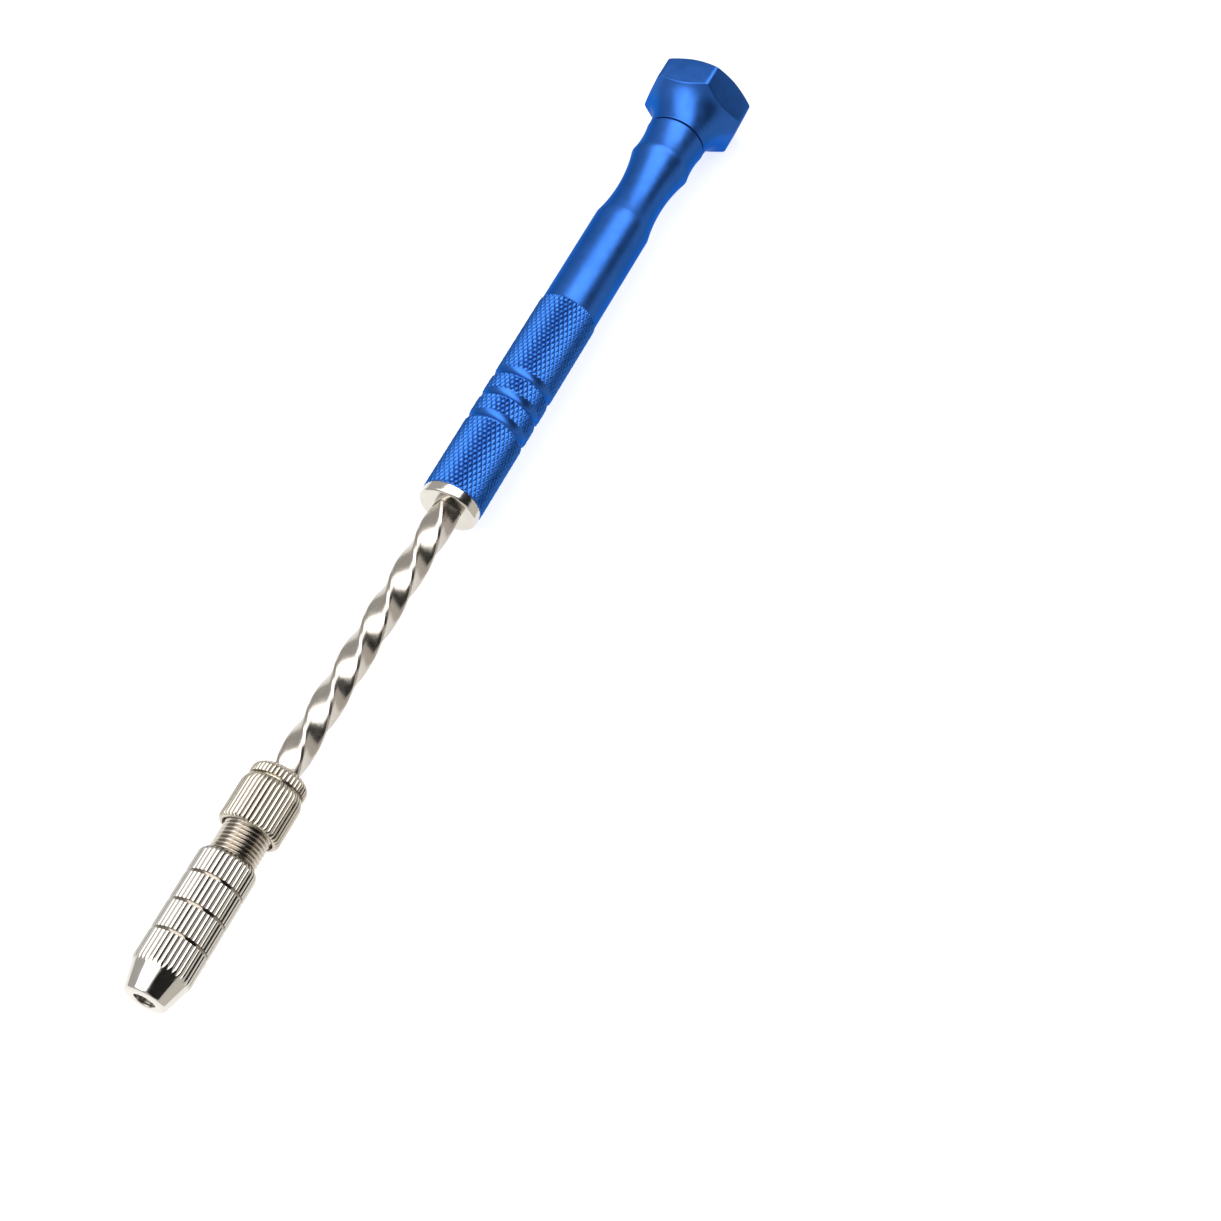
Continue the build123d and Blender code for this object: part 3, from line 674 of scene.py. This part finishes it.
# --- materials -------------------------------------------------------------------------
class Shader:
    """A small builder for one procedural material."""

    def __init__(self, name):
        self.material = bpy.data.materials.new(name)
        self.material.use_nodes = True
        self.tree = self.material.node_tree
        self.shader = self.tree.nodes["Principled BSDF"]
        self.place = self.node("ShaderNodeTexCoord").outputs["Object"]

    def node(self, kind, **values):
        made = self.tree.nodes.new(kind)
        for name, value in values.items():
            setattr(made, name, value)
        return made

    def link(self, source, target):
        self.tree.links.new(source, target)

    def noise(self, per_mm, detail=3.0, stretch=(1, 1, 1)):
        """Noise with that many cells per millimetre, squeezed by stretch."""
        mapping = self.node("ShaderNodeMapping")
        mapping.inputs["Scale"].default_value = [per_mm / MM * s for s in stretch]
        texture = self.node("ShaderNodeTexNoise")
        texture.inputs["Scale"].default_value = 1.0
        texture.inputs["Detail"].default_value = detail
        self.link(self.place, mapping.inputs["Vector"])
        self.link(mapping.outputs["Vector"], texture.inputs["Vector"])
        return texture.outputs["Fac"]

    def spread(self, source, low, high, start=0.3, end=0.7):
        """source from start to end, mapped to low to high."""
        made = self.node("ShaderNodeMapRange")
        for name, value in (("From Min", start), ("From Max", end), ("To Min", low), ("To Max", high)):
            made.inputs[name].default_value = value
        self.link(source, made.inputs["Value"])
        return made.outputs["Result"]

    def tones(self, source, colours, start=0.25, end=0.75):
        """source as a blend through colours, evenly spaced."""
        owner = self.node("ShaderNodeValToRGB")
        ramp = owner.color_ramp
        while len(ramp.elements) < len(colours):
            ramp.elements.new(0.5)
        for n, colour in enumerate(colours):
            ramp.elements[n].position = start + (end - start) * n / (len(colours) - 1)
            ramp.elements[n].color = (*colour, 1)
        self.link(source, owner.inputs["Fac"])
        return owner.outputs["Color"]

    def blend(self, factor, one, two):
        mix = self.node("ShaderNodeMix", data_type="RGBA")
        self.link(factor, mix.inputs["Factor"])
        self.link(one, mix.inputs["A"])
        self.link(two, mix.inputs["B"])
        return mix.outputs["Result"]

    def bump(self, source, height_mm, normal=None):
        made = self.node("ShaderNodeBump")
        made.inputs["Distance"].default_value = height_mm * MM
        made.inputs["Strength"].default_value = 1.0
        self.link(source, made.inputs["Height"])
        if normal is not None:
            self.link(normal, made.inputs["Normal"])
        return made.outputs["Normal"]

    def crest(self):
        return self.node("ShaderNodeAttribute", attribute_name="crest").outputs["Fac"]

    def finish(self, colour, roughness, normal=None, **constants):
        self.link(colour, self.shader.inputs["Base Color"])
        self.link(roughness, self.shader.inputs["Roughness"])
        if normal is not None:
            self.link(normal, self.shader.inputs["Normal"])
        for name, value in constants.items():
            self.shader.inputs[name.replace("_", " ")].default_value = value
        return self.material


def anodised(name, crests):
    """Blue anodised aluminium: satin from blasting, fine turning marks, paler crests that are partly
    wear and partly a painted highlight.
    """
    s = Shader(name)
    colour = s.tones(s.noise(0.12), [(0.032, 0.135, 0.49), (0.042, 0.160, 0.57)])
    if crests:
        # Paler blue on the knurl crests: partly wear, partly a painted highlight where the crests
        # catch the light.
        worn_and_highlit = s.tones(s.noise(0.9), [(0.05, 0.20, 0.66), (0.07, 0.26, 0.76)])
        colour = s.blend(s.spread(s.crest(), 0, 0.8, 0.55, 1.0), colour, worn_and_highlit)
    grain = s.noise(9, 2)
    turning = s.noise(5, 2, (1, 0.03, 0.03))
    normal = s.bump(turning, 0.0025, s.bump(grain, 0.004))
    roughness = s.spread(s.noise(0.5), 0.32, 0.42)
    return s.finish(colour, roughness, normal, Metallic=0.97, Specular_Tint=(0.28, 0.42, 0.72, 1))


def nickel(name, light, dark, low, high, crests):
    """Bright nickel plate: faint orange peel, fine scratches, roots darkened partly by oil and partly
    by painted shade.
    """
    s = Shader(name)
    colour = s.tones(s.noise(0.35), [tuple(0.94 * c for c in light), light])
    if crests:
        # Darker tone towards the knurl roots: partly oil, partly painted shade in the recesses.
        grime_and_shade = s.tones(s.noise(1.4), [dark, tuple(1.25 * c for c in dark)])
        colour = s.blend(s.spread(s.crest(), 0, 1, 0.0, 0.6), grime_and_shade, colour)
    scratches = s.noise(7, 2, (0.08, 1, 1))
    peel = s.noise(1.1, 2)
    normal = s.bump(scratches, 0.0006, s.bump(peel, 0.0016))
    roughness = s.spread(s.noise(0.8), low, high)
    return s.finish(colour, roughness, normal, Metallic=1.0)


def steel(name, light, dark, low, high, stretch):
    """Bare or ground metal with turning or grinding marks that run along one direction."""
    s = Shader(name)
    marks = s.noise(6, 3, stretch)
    colour = s.tones(marks, [dark, light])
    normal = s.bump(marks, 0.002)
    return s.finish(colour, s.spread(s.noise(1.2), low, high), normal, Metallic=1.0)


def matt(name, light, dark, per_mm):
    """Plain washer stock: mottled, with a fine grain."""
    s = Shader(name)
    colour = s.tones(s.noise(per_mm), [dark, light])
    return s.finish(colour, s.spread(s.noise(per_mm * 2), 0.45, 0.65), s.bump(s.noise(8), 0.006))


WARM = (0.63, 0.58, 0.495)
# Dark tone of the knurl roots on the plated parts: partly oil, partly painted shade.
ROOT_GRIME_AND_SHADE = (0.28, 0.25, 0.215)
ALONG, AROUND = (0.06, 1, 1), (1, 0.06, 0.06)
materials = {
    "handle_blue": anodised("handle_anodised", True),
    "cap_blue": anodised("cap_anodised", False),
    "nickel": nickel("nickel_plate", WARM, ROOT_GRIME_AND_SHADE, 0.14, 0.26, True),
    "nickel_smooth": nickel("nickel_smooth_plate", (0.70, 0.67, 0.61), ROOT_GRIME_AND_SHADE, 0.1, 0.2, False),
    "nickel_nose": nickel("nickel_nose_plate", (0.73, 0.70, 0.655), ROOT_GRIME_AND_SHADE, 0.05, 0.16, True),
    "nickel_thread": nickel("nickel_thread_plate", (0.60, 0.55, 0.485), ROOT_GRIME_AND_SHADE, 0.12, 0.24, True),
    "spindle_steel": nickel("spindle_plate", (0.54, 0.50, 0.45), ROOT_GRIME_AND_SHADE, 0.2, 0.3, False),
    "collet_steel": steel("collet_turned", (0.30, 0.27, 0.24), (0.17, 0.15, 0.13), 0.25, 0.4, AROUND),
    "spring_steel": steel("spring_wire", (0.50, 0.50, 0.51), (0.32, 0.32, 0.33), 0.25, 0.4, ALONG),
    "bearing_steel": steel("bearing_ball", (0.78, 0.78, 0.80), (0.70, 0.70, 0.72), 0.04, 0.1, AROUND),
    "plain_steel": steel("steel_turned", (0.58, 0.57, 0.56), (0.42, 0.41, 0.40), 0.25, 0.4, AROUND),
    "pin_steel": steel("pin_ground", (0.50, 0.50, 0.51), (0.38, 0.38, 0.39), 0.2, 0.3, ALONG),
    "brass": steel("brass_turned", (0.74, 0.53, 0.24), (0.58, 0.40, 0.16), 0.22, 0.36, AROUND),
    "fibre": matt("fibre_washer", (0.34, 0.09, 0.05), (0.22, 0.05, 0.03), 3.0),
    "nylon": matt("nylon_washer", (0.07, 0.07, 0.08), (0.03, 0.03, 0.035), 1.5),
}


def paint(piece, slot):
    """Gives a piece its one material."""
    piece.data.materials.clear()
    piece.data.materials.append(materials[slot])


handle = make_handle()
nut = make_guide_nut()
spindle = make_spindle()
chuck = make_chuck_body()
sleeve = make_sleeve()
nose = make_nose()
cap = make_cap()
spring = make_spring()
for piece, slot in (
    (handle, "handle_blue"), (nut, "nickel_smooth"), (spindle, "spindle_steel"),
    (chuck, "nickel_thread"), (sleeve, "nickel"), (nose, "nickel_nose"), (cap, "cap_blue"),
    (spring, "spring_steel"),
):
    paint(piece, slot)
for part in frame["record"]["subparts"]:
    paint(frame["nodes"][part["node"]], part["material_slot"])


# --- stage, lights and camera ----------------------------------------------------------
# Angles are degrees round the tool's axis from the camera's side, and lengths are metres.
VIEW_SIDE = 33
SKEW = 30.0
KEY_ANGLE, KEY_DISTANCE, KEY_LENGTH, KEY_WIDTH, KEY_WATTS = -28, 0.55, 1.6, 0.6, 7
FLAG_ANGLE, FLAG_DISTANCE, FLAG_LENGTH, FLAG_WIDTH = 46, 0.5, 1.8, 0.76
TOWARDS_CAP = -0.1
GREY_LENGTH, GREY_WIDTH, GREY_LIFT = 0.6, 0.3, 0.0006
FLOOR_HALF = 4.0
WORLD_COLOUR, WORLD_STRENGTH = (1, 0.985, 0.96, 1), 0.5
CAMERA_LENS = 79.6
CAMERA_AZIMUTH, CAMERA_ELEVATION, CAMERA_ROLL = 42.2, 51.16, 19.78
CAMERA_DISTANCE = 0.4641
CAMERA_AIM = Vector((-0.09926, 0.02825, -0.01691))
middle = (cad_bounds[0] + cad_bounds[1]) / 2
middle.y = middle.z = 0


def off_axis(angle_from_view, distance):
    """A point that far from the tool's axis, turned about X from the camera's side."""
    angle = radians(VIEW_SIDE) + radians(angle_from_view)
    return middle + Vector((TOWARDS_CAP, distance * sin(angle), distance * cos(angle)))


def facing(place):
    """Rotation that points local -Z from place at the tool's axis.

    Local X lies along the tool, turned by SKEW so that its rear end leans to the right."""
    out = place - middle
    out.x = 0
    out.normalize()
    side = Matrix.Rotation(radians(-SKEW), 3, out) @ Vector((1, 0, 0))
    return Matrix((side, out.cross(side), out)).transposed().to_euler()


def make_key_strip():
    """The one light: a long strip beside the camera, for the highlight along the tool."""
    light = bpy.data.lights.new("key_strip", "AREA")
    light.shape = "RECTANGLE"
    light.size, light.size_y = KEY_LENGTH, KEY_WIDTH
    light.energy = KEY_WATTS
    light.use_shadow = False
    lamp = bpy.data.objects.new("key_strip", light)
    lamp.location = off_axis(KEY_ANGLE, KEY_DISTANCE)
    lamp.rotation_euler = facing(lamp.location)
    lamp.visible_camera = False
    bpy.context.scene.collection.objects.link(lamp)


def plain_surface(name, colour, roughness):
    s = Shader(name)
    tint = s.tones(s.noise(0.02), [tuple(0.985 * c for c in colour), colour])
    return s.finish(tint, s.spread(s.noise(0.05), roughness - 0.05, roughness))


def card(name, length, width, colour):
    """A flat card that only shows in reflections."""
    mesh = bpy.data.meshes.new(name)
    x, y = length / 2, width / 2
    mesh.from_pydata([(-x, -y, 0), (x, -y, 0), (x, y, 0), (-x, y, 0)], [], [(0, 1, 2, 3)])
    mesh.materials.append(plain_surface(name, colour, 0.9))
    piece = bpy.data.objects.new(name, mesh)
    piece.visible_camera = piece.visible_diffuse = piece.visible_shadow = False
    bpy.context.scene.collection.objects.link(piece)
    return piece


def make_dark_flag():
    """A black card on the light's other side, for the dark band right of the highlight."""
    flag = card("dark_flag", FLAG_LENGTH, FLAG_WIDTH, (0.004, 0.004, 0.004))
    flag.location = off_axis(FLAG_ANGLE, FLAG_DISTANCE)
    flag.rotation_euler = facing(flag.location)


def make_grey_card():
    """A grey card on the floor at +Y, so that the side away from the light stays darker."""
    grey = card("grey_card", GREY_LENGTH, GREY_WIDTH, (0.46, 0.44, 0.41))
    edge, level = cad_bounds[1].y, cad_bounds[0].z
    grey.location = (middle.x, edge + GREY_WIDTH / 2, level + GREY_LIFT)


def make_floor():
    """White paper under the tool."""
    mesh = bpy.data.meshes.new("floor")
    signs = ((-1, -1), (1, -1), (1, 1), (-1, 1))
    corners = [(x * FLOOR_HALF, y * FLOOR_HALF, cad_bounds[0].z) for x, y in signs]
    mesh.from_pydata(corners, [], [(0, 1, 2, 3)])
    mesh.materials.append(plain_surface("floor_paper", (0.86, 0.86, 0.855), 0.85))
    floor = bpy.data.objects.new("floor", mesh)
    bpy.context.scene.collection.objects.link(floor)


def make_world():
    world = bpy.data.worlds.new("studio")
    bpy.context.scene.world = world
    world.use_nodes = True
    background = world.node_tree.nodes["Background"]
    background.inputs["Color"].default_value = WORLD_COLOUR
    background.inputs["Strength"].default_value = WORLD_STRENGTH
    bpy.context.scene.view_settings.view_transform = "Standard"


def make_camera():
    """The camera stands beyond the nose, above and to +Y, and rolls with the tool's slope."""
    camera_data = bpy.data.cameras.new("camera")
    camera_data.lens, camera_data.sensor_width = CAMERA_LENS, 36.0
    camera_data.clip_start = 0.01
    azimuth, elevation = radians(CAMERA_AZIMUTH), radians(CAMERA_ELEVATION)
    back = Vector((cos(elevation) * cos(azimuth), cos(elevation) * sin(azimuth), sin(elevation)))
    level = Vector((0, 0, 1)).cross(back).normalized()
    right = Matrix.Rotation(-radians(CAMERA_ROLL), 3, back) @ level
    up = back.cross(right)
    camera = bpy.data.objects.new("camera", camera_data)
    axes = Matrix((right, up, back)).transposed().to_4x4()
    camera.matrix_world = Matrix.Translation(CAMERA_AIM + back * CAMERA_DISTANCE) @ axes
    bpy.context.scene.collection.objects.link(camera)
    bpy.context.scene.camera = camera


make_floor()
make_key_strip()
make_dark_flag()
make_grey_card()
make_world()
make_camera()
